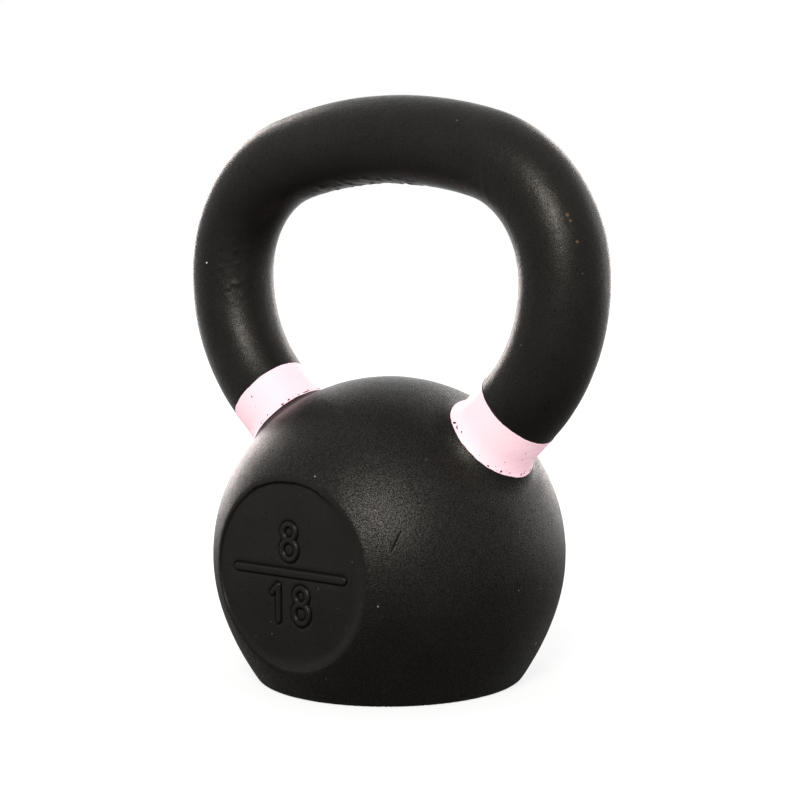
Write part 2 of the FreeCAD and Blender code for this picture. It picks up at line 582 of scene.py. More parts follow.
@dataclass(frozen=True)
class Net:
    """Wraps a distance field in an even net of quads."""

    low: tuple[float, float, float]
    high: tuple[float, float, float]
    step: float

    def wrap(self, distance: Callable[[np.ndarray], np.ndarray]) -> Skin:
        """Builds the net.

        Args:
            distance: The signed distance of each row of a point array.

        Returns:
            A closed skin of quads that face outwards.
        """
        axes = [np.arange(a, b, self.step) for a, b in zip(self.low, self.high, strict=True)]
        grid = np.stack(np.meshgrid(*axes, indexing="ij"), axis=-1)
        shape = np.array(grid.shape[:3])
        value = distance(grid.reshape(-1, 3)).reshape(shape)
        inside = value < 0
        total = np.zeros((*(shape - 1), 3))
        count = np.zeros(shape - 1)
        quads: list[tuple[np.ndarray, bool]] = []
        for axis in range(3):
            self.cross(axis, grid, value, inside, total, count)
        number = np.full(shape - 1, -1)
        crossed = count > 0
        number[crossed] = np.arange(crossed.sum())
        points = total[crossed] / count[crossed][:, None]
        for axis in range(3):
            quads += self.around(axis, inside, number)
        faces = [
            tuple(row[::-1]) if flip else tuple(row) for rows, flip in quads for row in rows.tolist()
        ]
        return Skin(points, faces)

    @staticmethod
    def span(axis: int, first: int, last: int | None) -> tuple[slice, slice, slice]:
        """A slice along one axis, and everything along the others.

        Args:
            axis: Which axis is cut.
            first: Where the slice starts.
            last: Where it ends, or None for the end.

        Returns:
            One slice per axis.
        """
        cut = [slice(None)] * 3
        cut[axis] = slice(first, last)
        return cut[0], cut[1], cut[2]

    def cross(
        self,
        axis: int,
        grid: np.ndarray,
        value: np.ndarray,
        inside: np.ndarray,
        total: np.ndarray,
        count: np.ndarray,
    ) -> None:
        """Adds the surface crossings of the grid lines along one axis to the cells around them.

        Args:
            axis: Which axis the lines run along.
            grid: The grid's points.
            value: The distance at each point.
            inside: Whether each point is inside.
            total: Sum of crossings per cell, added to.
            count: Number of crossings per cell, added to.
        """
        one, two = self.span(axis, 0, -1), self.span(axis, 1, None)
        hit = inside[one] != inside[two]
        share = np.where(hit, value[one] / np.where(hit, value[one] - value[two], 1), 0)
        spot = grid[one].copy()
        spot[..., axis] += share * self.step
        others = [a for a in range(3) if a != axis]
        for shift in np.ndindex(2, 2):
            near = [slice(None)] * 3
            for other, s in zip(others, shift, strict=True):
                near[other] = slice(s, hit.shape[other] - 1 + s)
            part = tuple(near)
            total += np.where(hit[part][..., None], spot[part], 0)
            count += hit[part]

    def around(self, axis: int, inside: np.ndarray, number: np.ndarray) -> list[tuple[np.ndarray, bool]]:
        """The quads that cross the grid lines along one axis.

        Args:
            axis: Which axis the lines run along.
            inside: Whether each grid point is inside.
            number: Each cell's vertex number.

        Returns:
            Two arrays of quads, each with whether its corners run the other way round.
        """
        one, two = self.span(axis, 0, -1), self.span(axis, 1, None)
        b, c = (axis + 1) % 3, (axis + 2) % 3
        core = [slice(None)] * 3
        core[b] = core[c] = slice(1, -1)
        part = tuple(core)
        found = []
        for flip, start in ((False, inside[one] & ~inside[two]), (True, ~inside[one] & inside[two])):
            cell = np.argwhere(start[part])
            cell[:, b] += 1
            cell[:, c] += 1
            corners = []
            for db, dc in ((-1, -1), (0, -1), (0, 0), (-1, 0)):
                spot = cell.copy()
                spot[:, b] += db
                spot[:, c] += dc
                corners.append(number[tuple(spot.T)])
            found.append((np.stack(corners, axis=1), flip))
        return found


def neighbour_mean(points: np.ndarray, faces: list[tuple[int, ...]]) -> np.ndarray:
    """The mean of each point's neighbours along the edges.

    Args:
        points: The mesh's points.
        faces: Its faces.

    Returns:
        One mean per point.
    """
    quads = np.array(faces)
    total, count = np.zeros_like(points), np.zeros(len(points))
    for a, b in ((0, 1), (1, 2), (2, 3), (3, 0)):
        for one, two in ((quads[:, a], quads[:, b]), (quads[:, b], quads[:, a])):
            np.add.at(total, one, points[two])
            np.add.at(count, one, 1)
    return total / np.maximum(count, 1)[:, None]


def refined(skin: Skin, wanted: Callable[[np.ndarray], np.ndarray], levels: int) -> Skin:
    """Splits faces near fine detail, halving their size at each level.

    Args:
        skin: The mesh to split.
        wanted: Distance of each row of points from the nearest fine detail.
        levels: How many times to split.

    Returns:
        The finer mesh.
    """
    mesh = bpy.data.meshes.new("refining")
    mesh.from_pydata(skin.points.tolist(), [], skin.faces)
    work = bmesh.new()
    work.from_mesh(mesh)
    bpy.data.meshes.remove(mesh)
    for _ in range(levels):
        work.faces.ensure_lookup_table()
        centres = np.array([face.calc_center_median() for face in work.faces])
        reach = np.array([face.calc_perimeter() for face in work.faces]) / 4
        near = np.flatnonzero(wanted(centres) < reach)
        edges = {edge for i in near.tolist() for edge in work.faces[i].edges}
        ordered = sorted(edges, key=lambda edge: edge.index)
        bmesh.ops.subdivide_edges(work, edges=ordered, cuts=1, use_grid_fill=True)
        work.edges.index_update()
    work.verts.index_update()
    points = np.array([vert.co for vert in work.verts])
    faces = [tuple(vert.index for vert in face.verts) for face in work.faces]
    work.free()
    return Skin(points, faces)


def made_object(name: str, skin: Skin) -> bpy.types.Object:
    """Turns a skin into a smooth-shaded Blender object in metres.

    Args:
        name: The object's name.
        skin: Its mesh, in millimetres.

    Returns:
        The new object, linked to the scene.
    """
    mesh = bpy.data.meshes.new(name)
    mesh.from_pydata((skin.points * MM).tolist(), [], skin.faces)
    mesh.polygons.foreach_set("use_smooth", [True] * len(mesh.polygons))
    mesh.update()
    thing = bpy.data.objects.new(name, mesh)
    bpy.context.scene.collection.objects.link(thing)
    return thing


def set_values(thing: bpy.types.Object, name: str, values: np.ndarray) -> None:
    """Stores one number per point for the finish to read."""
    layer = thing.data.attributes.new(name, "FLOAT", "POINT")
    layer.data.foreach_set("value", values.astype(np.float32))


# Finishes


class Nodes:
    """Builds one material's nodes with short calls."""

    def __init__(self, name: str) -> None:
        """Starts a material with a plain Principled shader.

        Args:
            name: The material's name.
        """
        self.material = bpy.data.materials.new(name)
        self.material.use_nodes = True
        self.tree = self.material.node_tree
        self.shader = self.tree.nodes["Principled BSDF"]
        self.place = self.node("ShaderNodeTexCoord").outputs["Object"]

    def node(self, kind: str, **settings: object) -> bpy.types.Node:
        """Adds a node and sets its properties.

        Args:
            kind: The node's type.
            **settings: Its properties by name.

        Returns:
            The new node.
        """
        made = self.tree.nodes.new(kind)
        for key, value in settings.items():
            setattr(made, key, value)
        return made

    def put(self, target: bpy.types.NodeSocket, value: object) -> None:
        """Links a socket to a socket, or sets it to a plain value.

        Args:
            target: The socket that takes the value.
            value: A socket to link from, or the value itself.
        """
        if isinstance(value, bpy.types.NodeSocket):
            self.tree.links.new(value, target)
        else:
            target.default_value = value

    def noise(
        self, size: float, detail: float = 2.0, stretch: tuple[float, ...] = (1, 1, 1)
    ) -> bpy.types.NodeSocket:
        """Adds noise.

        Args:
            size: Width of one bump, in millimetres.
            detail: How many finer layers it has.
            stretch: How much longer its bumps are along each axis.

        Returns:
            The noise's value, from 0 to 1.
        """
        spot = self.place
        if stretch != (1, 1, 1):
            scaled = self.node("ShaderNodeMapping")
            self.put(scaled.inputs["Vector"], self.place)
            scaled.inputs["Scale"].default_value = tuple(1 / s for s in stretch)
            spot = scaled.outputs["Vector"]
        made = self.node("ShaderNodeTexNoise")
        self.put(made.inputs["Vector"], spot)
        made.inputs["Scale"].default_value = 1 / (size * MM)
        made.inputs["Detail"].default_value = detail
        return made.outputs["Fac"]

    def ramp(
        self, value: bpy.types.NodeSocket, low: float, high: float, start: float, end: float
    ) -> bpy.types.NodeSocket:
        """Maps one range of a value to another, held at both ends.

        Args:
            value: The value.
            low: Where the range begins.
            high: Where the range ends.
            start: What the value becomes at low.
            end: What the value becomes at high.

        Returns:
            The mapped value.
        """
        made = self.node("ShaderNodeMapRange", clamp=True)
        self.put(made.inputs["Value"], value)
        for key, number in (("From Min", low), ("From Max", high), ("To Min", start), ("To Max", end)):
            made.inputs[key].default_value = number
        return made.outputs["Result"]

    def maths(self, operation: str, a: object, b: object) -> bpy.types.NodeSocket:
        """Adds a maths node, its result held between 0 and 1.

        Args:
            operation: The sum to do.
            a: Its first number.
            b: Its second number.

        Returns:
            The result.
        """
        made = self.node("ShaderNodeMath", operation=operation, use_clamp=True)
        self.put(made.inputs[0], a)
        self.put(made.inputs[1], b)
        return made.outputs["Value"]

    def blend(self, share: object, one: object, two: object) -> bpy.types.NodeSocket:
        """Mixes two colours.

        Args:
            share: The share of the second colour, from 0 to 1.
            one: The first colour.
            two: The second colour.

        Returns:
            The mixed colour.
        """
        made = self.node("ShaderNodeMix", data_type="RGBA")
        self.put(made.inputs["Factor"], share)
        self.put(made.inputs["A"], one)
        self.put(made.inputs["B"], two)
        return made.outputs["Result"]

    def near(self, spot: tuple[float, float, float], size: float) -> bpy.types.NodeSocket:
        """Finds the round patch around a spot.

        Args:
            spot: The middle of the patch, in millimetres.
            size: The patch's width, in millimetres.

        Returns:
            1 inside the patch, 0 outside.
        """
        made = self.node("ShaderNodeVectorMath", operation="DISTANCE")
        self.put(made.inputs[0], self.place)
        made.inputs[1].default_value = tuple(v * MM for v in spot)
        return self.ramp(made.outputs["Value"], size * MM / 4, size * MM / 2, 1, 0)

    def height(self) -> bpy.types.NodeSocket:
        """Reads the height above the ground.

        Returns:
            The height, in metres.
        """
        made = self.node("ShaderNodeSeparateXYZ")
        self.put(made.inputs["Vector"], self.place)
        return made.outputs["Z"]

    def values(self, name: str) -> bpy.types.NodeSocket:
        """Reads the numbers that a mesh stores under a name."""
        return self.node("ShaderNodeAttribute", attribute_name=name).outputs["Fac"]

    def bump(
        self,
        height: bpy.types.NodeSocket,
        depth: float,
        strength: float,
        under: bpy.types.NodeSocket | None = None,
    ) -> bpy.types.NodeSocket:
        """Adds fine relief.

        Args:
            height: The relief, from 0 to 1.
            depth: Its depth in millimetres.
            strength: How strongly it shows.
            under: Coarser relief below it, if any.

        Returns:
            The bent normal.
        """
        made = self.node("ShaderNodeBump")
        self.put(made.inputs["Height"], height)
        made.inputs["Distance"].default_value = depth * MM
        made.inputs["Strength"].default_value = strength
        if under is not None:
            self.put(made.inputs["Normal"], under)
        return made.outputs["Normal"]


Colour = tuple[float, float, float, float]
Ramp = tuple[float, float, float, float]


@dataclass(frozen=True)
class Speck:
    """A speck of dust, or a chip in the coat with rust showing."""

    spot: tuple[float, float, float]
    size: float
    colour: Colour = (0.30, 0.29, 0.28, 1)


RUST: Colour = (0.075, 0.043, 0.022, 1)
SPECKS = (
    Speck((-72.0, -15.0, 144.1), 0.8, (0.7, 0.7, 0.7, 1)),
    Speck((53.9, 11.9, 16.1), 1.1, (0.5, 0.48, 0.46, 1)),
    Speck((60.8, -7.9, 38.4), 0.7),
    Speck((61.0, 4.6, 37.1), 0.7),
    Speck((35.3, -49.9, 36.9), 0.7),
    Speck((10.1, -50.9, 76.9), 0.7),
    Speck((80.4, -9.5, 160.8), 1.6, RUST),
    Speck((81.2, -9.0, 158.9), 1.2, RUST),
    Speck((83.7, -8.8, 152.4), 1.3, RUST),
)


@dataclass(frozen=True)
class PowderCoat:
    """Black powder coat with a fine orange-peel texture, a little dusty and chipped."""

    name: str = "powder_coat"
    black: Colour = (0.0042, 0.0041, 0.0036, 1)
    worn: Colour = (0.0062, 0.0058, 0.0050, 1)
    # near black for the real pits, and also the colour of the painted shade in grooves
    pit_and_groove_shade: Colour = (0.0008, 0.0007, 0.0006, 1)
    dust: Colour = (0.055, 0.052, 0.048, 1)
    warm: Colour = (1.0, 0.95, 0.87, 1)
    grain: float = 0.42
    grain_depth: float = 0.14
    peel_depth: float = 0.07
    sheen_low: float = 0.04
    sheen_high: float = 0.35
    rough_low: float = 0.33
    rough_high: float = 0.40
    face_grain: float = 0.2
    face_sheen: float = 0.22
    wear_size: float = 14.0
    dust_size: float = 1.0
    dust_ramp: Ramp = (0.865, 0.90, 0, 1)
    floor_dust: Ramp = (0.0015, 0.009, 0.09, 0)
    pit_size: float = 1.3
    pit_ramp: Ramp = (0.17, 0.20, 1, 0)
    rough_size: float = 1.6
    peel_size: float = 2.4
    # share of the sheen kept where grooves get painted shade
    shaded_groove_sheen: float = 0.12
    specks: tuple[Speck, ...] = SPECKS

    def colour(self, nodes: Nodes, groove_shade: bpy.types.NodeSocket) -> bpy.types.NodeSocket:
        """Adds the coat's colour, with its wear, pits and dust, and painted shade in its grooves.

        Args:
            nodes: The material it is added to.
            groove_shade: How much painted shade each point gets in a groove, from 0 to 1.

        Returns:
            The colour.
        """
        cloud = nodes.noise(self.wear_size, 3.0)
        colour = nodes.blend(nodes.ramp(cloud, 0.35, 0.7, 0, 1), self.black, self.worn)
        low = nodes.ramp(nodes.height(), *self.floor_dust)
        dust = nodes.maths("ADD", nodes.noise(self.dust_size, 0.0), low)
        colour = nodes.blend(nodes.ramp(dust, *self.dust_ramp), colour, self.dust)
        pits = nodes.ramp(nodes.noise(self.pit_size, 0.0, (1, 1, 1.01)), *self.pit_ramp)
        colour = nodes.blend(pits, colour, self.pit_and_groove_shade)
        for speck in self.specks:
            colour = nodes.blend(nodes.near(speck.spot, speck.size), colour, speck.colour)
        # painted shade: grooves, the foot of the pocket's rim and the scratch are darkened to near black
        return nodes.blend(groove_shade, colour, self.pit_and_groove_shade)

    def material(self) -> bpy.types.Material:
        """Makes the finish as a Blender material.

        Returns:
            The material.
        """
        nodes = Nodes(self.name)
        # painted shade: how dark the grooves, the foot of the pocket's rim and the scratch are painted
        groove_shade = nodes.values("groove_shade")
        nodes.put(nodes.shader.inputs["Base Color"], self.colour(nodes, groove_shade))
        rough = nodes.noise(self.rough_size, 2.0)
        rough = nodes.ramp(rough, 0.3, 0.7, self.rough_low, self.rough_high)
        nodes.put(nodes.shader.inputs["Roughness"], rough)
        fine = nodes.noise(self.grain, 2.0)
        sheen = nodes.ramp(fine, 0.36, 0.68, self.sheen_low, self.sheen_high)
        rest = nodes.ramp(nodes.values("smooth"), 0, 1, 1, self.face_grain)
        sheen = nodes.maths("MULTIPLY", sheen, rest)
        sheen = nodes.maths("ADD", sheen, nodes.ramp(rest, 0, 1, self.face_sheen, 0))
        # painted shade: the sheen is cut in the same grooves
        open_share = nodes.ramp(groove_shade, 0, 1, 1, self.shaded_groove_sheen)
        nodes.put(nodes.shader.inputs["Specular IOR Level"], nodes.maths("MULTIPLY", sheen, open_share))
        nodes.shader.inputs["Specular Tint"].default_value = self.warm
        peel = nodes.bump(nodes.noise(self.peel_size, 2.0), self.peel_depth, 0.7)
        grain = nodes.bump(nodes.maths("MULTIPLY", fine, rest), self.grain_depth, 1.0, peel)
        nodes.put(nodes.shader.inputs["Normal"], grain)
        return nodes.material


@dataclass(frozen=True)
class BandPaint:
    """Pale pink enamel brushed around a foot by hand, with a painted glow standing in for light."""

    pale: Colour = (0.48, 0.32, 0.33, 1)
    deep: Colour = (0.58, 0.29, 0.37, 1)
    rim: Colour = (0.52, 0.42, 0.44, 1)
    under: Colour = (0.02, 0.012, 0.012, 1)
    # painted shade: a dark line where the band meets the coat
    outline: Colour = (0.030, 0.008, 0.010, 1)
    # painted light: the paint glows in this colour so that it looks brightly lit all round
    glow: Colour = (1.0, 0.69, 0.765, 1)
    painted_glow_strength: float = 0.61
    streak_size: float = 0.8
    streak_stretch: tuple[float, float, float] = (7, 7, 1)
    thick_ramp: Ramp = (0.3, 0.7, 0.4, 0)
    edge_shade_ramp: Ramp = (0.10, 0.26, 1, 0)
    gap_size: float = 1.4
    gap_ramp: Ramp = (0.71, 0.73, 0, 1)
    gap_start: Ramp = (0.4, 0.7, 0, 1)
    gap_end: Ramp = (1.2, 2.6, 1, 0)
    more_gaps: float = 0.165
    brush_depth: float = 0.03

    def material(self) -> bpy.types.Material:
        """Makes the finish as a Blender material.

        Returns:
            The material.
        """
        nodes = Nodes("band_paint")
        edge = nodes.values("edge")
        deep_side = nodes.values("deep_side")
        streaks = nodes.noise(self.streak_size, 3.0, self.streak_stretch)
        streaks = nodes.ramp(streaks, 0.35, 0.7, 0, 1)
        # deeper pink in streaks on one side of each foot: full on the right band, a quarter as strong on
        # the left
        deep = nodes.maths("MULTIPLY", deep_side, nodes.ramp(streaks, 0, 1, 0.25, 1.0))
        colour = nodes.blend(deep, self.pale, self.deep)
        colour = nodes.blend(nodes.ramp(edge, *self.thick_ramp), colour, self.rim)
        # painted shade along both edges of the band
        outline = nodes.ramp(edge, *self.edge_shade_ramp)
        colour = nodes.blend(outline, colour, self.outline)
        low = nodes.values("low")
        start, end = nodes.ramp(low, *self.gap_start), nodes.ramp(low, *self.gap_end)
        near = nodes.ramp(nodes.maths("MULTIPLY", start, end), 0, 1, 0, self.more_gaps)
        patchy = nodes.ramp(nodes.noise(6.0, 1.0), 0.4, 0.6, 0.3, 1)
        gap = nodes.noise(self.gap_size, 4.0)
        gap = nodes.maths("ADD", gap, nodes.maths("MULTIPLY", near, patchy))
        bare = nodes.ramp(gap, *self.gap_ramp)
        nodes.put(nodes.shader.inputs["Base Color"], nodes.blend(bare, colour, self.under))
        # painted light: a glow that brightens the paint as if lit on every side; it is off at bare spots
        # and along the painted shade at the edges, and dimmer in the deep side's streaks
        nodes.shader.inputs["Emission Color"].default_value = self.glow
        shut = nodes.maths("MAXIMUM", bare, outline)
        # the painted glow is up to a quarter dimmer in the streaks on that side
        brushed = nodes.maths("MULTIPLY", deep_side, nodes.ramp(streaks, 0, 1, 0, 0.25))
        lit = nodes.ramp(nodes.maths("MAXIMUM", shut, brushed), 0, 1, self.painted_glow_strength, 0)
        nodes.put(nodes.shader.inputs["Emission Strength"], lit)
        nodes.put(nodes.shader.inputs["Roughness"], nodes.ramp(streaks, 0, 1, 0.36, 0.5))
        brush = nodes.bump(streaks, self.brush_depth, 0.4)
        brush = nodes.bump(nodes.noise(0.7, 2.0), self.brush_depth, 0.4, brush)
        nodes.put(nodes.shader.inputs["Normal"], brush)
        nodes.shader.inputs["Specular IOR Level"].default_value = 0.2
        return nodes.material


@dataclass(frozen=True)
class GroundIron:
    """Bare cast iron, ground flat on a belt."""

    light: Colour = (0.36, 0.35, 0.34, 1)
    dark: Colour = (0.13, 0.12, 0.115, 1)
    rust: Colour = (0.16, 0.062, 0.026, 1)

    def material(self) -> bpy.types.Material:
        """Makes the finish as a Blender material.

        Returns:
            The material.
        """
        nodes = Nodes("ground_iron")
        lines = nodes.noise(0.5, 3.0, (40, 1, 1))
        metal = nodes.blend(nodes.ramp(lines, 0.3, 0.7, 0, 1), self.dark, self.light)
        blotch = nodes.ramp(nodes.noise(9.0, 6.0), 0.56, 0.68, 0, 0.8)
        nodes.put(nodes.shader.inputs["Base Color"], nodes.blend(blotch, metal, self.rust))
        nodes.put(nodes.shader.inputs["Metallic"], nodes.ramp(blotch, 0, 0.8, 0.9, 0.1))
        nodes.put(nodes.shader.inputs["Roughness"], nodes.ramp(lines, 0.3, 0.7, 0.36, 0.6))
        nodes.put(nodes.shader.inputs["Normal"], nodes.bump(lines, 0.02, 0.5))
        return nodes.material


# The pieces


@dataclass
class BellCoat:
    """The powder coat over the ball and the lower part of both feet."""

    form: BallForm
    pocket: Pocket
    marking: Marking
    cast: SandCast
    scratch: Scratch = Scratch()
    neck: float = 10.0
    spare_neck: float = 13.0
    mesh_step: float = 1.25
    relax_rounds: int = 6
    relax_share: float = 0.5
    fine_levels: int = 3
    edge_margin: float = 0.2
    cut_slack: float = 0.4
    face_blend: tuple[float, float] = (1.2, 0.4)
    face_depth: float = 1.4
    smooth_from: tuple[float, float] = (-0.2, 0.6)
    ledge_shade: float = 0.85
    scratch_shade: float = 0.9
    net_room: tuple[float, float, float] = (13.0, 1.7, 1.9)
    net_shift: float = 0.3

    def near_detail(self, points: np.ndarray) -> np.ndarray:
        """Distances to the nearest fine detail, for refining.

        Args:
            points: Places near the surface, one row each.

        Returns:
            One distance per point.
        """
        on_face = self.form.face_offset - np.abs(points[:, 1])
        rim = np.hypot(self.pocket.rim(points), on_face)
        front = np.where(points[:, 1] < 0, on_face, FAR)
        mark = np.hypot(self.marking.outline(points[:, [0, 2]]), front)
        edge = np.hypot(self.form.face_edge(points), front) + self.edge_margin
        return np.minimum.reduce([rim, mark, edge, self.scratch.away(points)])

    def relief(self, points: np.ndarray) -> np.ndarray:
        """How far each point of the finished surface is raised.

        Args:
            points: Places on the surface, one row each.

        Returns:
            One height per point.
        """
        height = self.cast.height(points) - self.scratch.depth * self.scratch.share(points)
        start, end = (self.form.face_offset - under for under in self.face_blend)
        flat = ease(start, end, np.abs(points[:, 1]))
        height += flat * self.pocket.height(points)
        front = flat * (points[:, 1] < 0)
        return height + front * self.marking.height(self.marking.outline(points[:, [0, 2]]))

    def smooth(self, points: np.ndarray) -> np.ndarray:
        """How much of the grain is missing at each point: most of it on the flat faces."""
        on_face = np.abs(points[:, 1]) > self.form.face_offset - self.face_depth
        return np.where(on_face, ease(*self.smooth_from, -self.form.face_edge(points)), 0)

    def groove_shades(self, points: np.ndarray) -> np.ndarray:
        """How much painted shade each point gets in the moats of the marked face, at the foot of its
        pocket's rim and in the scratch.

        Args:
            points: Places on the surface, one row each.

        Returns:
            Shares of the full painted shade, from 0 to 1.
        """
        front = -points[:, 1] > self.form.face_offset - self.face_depth
        moat = self.marking.moat(self.marking.outline(points[:, [0, 2]]))
        # painted shade in the marking's moats and at the foot of the pocket's rim
        face = np.maximum(moat, self.ledge_shade * self.pocket.ledge_shadow(points))
        # painted shade in the scratch
        scratch = self.scratch_shade * self.scratch.share(points)
        return np.maximum(np.where(front, face, 0), scratch)

    def skin(self) -> Skin:
        """The coat's outer surface, open at the base and at both necks.

        Returns:
            The mesh, in millimetres.
        """
        form = self.form
        aside, ahead, below = self.net_room
        reach, top = form.radius + ahead, form.centre_height + form.radius + self.spare_neck
        wide = (form.radius + self.spare_neck + 4) * math.sin(math.radians(form.foot_angle)) + aside
        net = Net((-wide - self.net_shift, -reach, -below), (wide, reach, top), self.mesh_step)
        skin = net.wrap(lambda points: form.distance(points, self.spare_neck))
        points = skin.points
        for _ in range(self.relax_rounds):
            points = points + self.relax_share * (neighbour_mean(points, skin.faces) - points)
            points = form.settled(points, self.spare_neck)
        skin = refined(Skin(points, skin.faces), self.near_detail, self.fine_levels)
        points = form.settled(skin.points, self.spare_neck)
        raised = self.relief(points)[:, None] * form.normals(points, self.spare_neck)
        return self.opened(Skin(points + raised, skin.faces))

    def opened(self, skin: Skin) -> Skin:
        """Cuts the base and the necks open along clean circles.

        Args:
            skin: The closed mesh.

        Returns:
            The mesh without the faces inside those circles.
        """
        form = self.form
        points = skin.points.copy()
        rim = form.base_rim() - form.ground_margin
        out = np.hypot(points[:, 0], points[:, 1])
        slack = self.cut_slack * self.mesh_step
        gone = (out < rim - slack) & (points[:, 2] < form.base_edge / 2)
        edge = self.boundary(skin.faces, gone)
        points[edge, :2] *= (rim / out[edge])[:, None]
        for side in (-1, 1):
            axis = form.foot_axis(side)
            along = (points - form.centre()) @ axis - form.radius
            past = along > self.neck + slack
            edge = self.boundary(skin.faces, past)
            points[edge] += ((self.neck - along[edge])[:, None]) * axis
            gone |= past
        faces = [face for face in skin.faces if not any(gone[i] for i in face)]
        used = np.unique(np.concatenate([np.array(face) for face in faces]))
        number = np.full(len(points), -1)
        number[used] = np.arange(len(used))
        return Skin(points[used], [tuple(int(number[i]) for i in face) for face in faces])

    @staticmethod
    def boundary(faces: list[tuple[int, ...]], gone: np.ndarray) -> np.ndarray:
        """Which kept points lie on a face that loses a point.

        Args:
            faces: The mesh's faces.
            gone: Whether each point goes.

        Returns:
            Whether each point is on the new edge.
        """
        edge = np.zeros(len(gone), bool)
        for face in faces:
            lost = [gone[i] for i in face]
            if any(lost) and not all(lost):
                edge[[i for i, out in zip(face, lost, strict=True) if not out]] = True
        return edge

    def build(self, finish: PowderCoat) -> bpy.types.Object:
        """Builds and dresses the piece.

        Args:
            finish: Its finish.

        Returns:
            The piece.
        """
        skin = self.skin()
        thing = made_object("bell_coat_skin", skin)
        # painted shade: how dark each point of the grooves, the pocket's rim and the scratch is painted
        set_values(thing, "groove_shade", self.groove_shades(skin.points))
        set_values(thing, "smooth", self.smooth(skin.points))
        thing.data.materials.append(finish.material())
        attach(thing, "root")
        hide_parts("bell_coat")
        return thing


@dataclass
class HandleCoat:
    """The powder coat over the bar of the handle."""

    loop: LoopForm
    cast: SandCast
    start: float = 10.0
    step: float = 0.75
    around: int = 120
    flash: float = 0.4
    lumps: float = 0.5
    lumps_at: tuple[float, float, float] = (-63.7, -11.7, 141.2)
    lumps_reach: tuple[float, float, float] = (6, 6, 11)
    lumps_size: float = 1.5
    flash_size: float = 1.7
    flash_left: tuple[float, float] = (-34, -22)
    flash_right: tuple[float, float] = (-24, -12)
    flash_above: float = 150.0
    seam: float = 0.10
    seam_at: float = 51.0
    seam_width: float = 0.8
    seam_above: float = 165.0
    seed: int = 17

    def casting_marks(self, points: np.ndarray, inward: np.ndarray) -> np.ndarray:
        """The raised marks that casting left on the bar.

        Args:
            points: Places on the bar, one row each.
            inward: How far each one faces into the loop, from -1 to 1.

        Returns:
            One height per point.
        """
        across, up = points[:, 0], points[:, 2]
        rough = Lattice(self.seed).at(points, self.flash_size)
        under = ease(*self.flash_left, across) * ease(*self.flash_right, -across)
        under = under * ease(0.8, 0.97, inward)
        flash = self.flash * under * np.maximum(rough + 0.2, 0) * (up > self.flash_above)
        away = np.linalg.norm((points - np.array(self.lumps_at)) / self.lumps_reach, axis=1)
        rise = np.maximum(Lattice(self.seed + 1).at(points, self.lumps_size), 0)
        lumps = self.lumps * np.exp(-(away**2)) * rise
        seam = np.exp(-(((across - self.seam_at) / self.seam_width) ** 2)) * (up > self.seam_above)
        return flash + lumps + self.seam * seam * ease(-0.2, 0.4, inward) * (1 + rough) / 2

    def skin(self) -> Skin:
        """The coat's outer surface, open at both ends.

        Returns:
            The mesh, in millimetres.
        """
        line = self.loop.middle_line(self.start, self.step)
        along = np.gradient(line, axis=0)
        along /= np.linalg.norm(along, axis=1)[:, None]
        out = np.stack([along[:, 2], np.zeros(len(line)), -along[:, 0]], axis=1)
        turn = np.linspace(0, 2 * np.pi, self.around, endpoint=False)
        way = np.cos(turn)[None, :, None] * out[:, None, :]
        way = way + np.sin(turn)[None, :, None] * np.array([0, 1, 0])
        points = (line[:, None, :] + self.loop.ball.bar_radius * way).reshape(-1, 3)
        inward = np.tile(-np.cos(turn), len(line))
        height = self.cast.height(points) + self.casting_marks(points, inward)
        points = points + height[:, None] * way.reshape(-1, 3)
        faces = []
        for i in range(len(line) - 1):
            for j in range(self.around):
                k = (j + 1) % self.around
                a, b = i * self.around, (i + 1) * self.around
                faces.append((a + j, a + k, b + k, b + j))
        return Skin(points, faces)

    def build(self, finish: PowderCoat) -> bpy.types.Object:
        """Builds and dresses the piece.

        Args:
            finish: Its finish.

        Returns:
            The piece.
        """
        thing = made_object("handle_coat_skin", self.skin())
        thing.data.materials.append(finish.material())
        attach(thing, "root")
        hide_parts("handle_coat")
        return thing


class Side(Enum):
    """Which foot of the handle a band is on."""

    LEFT = -1
    RIGHT = 1


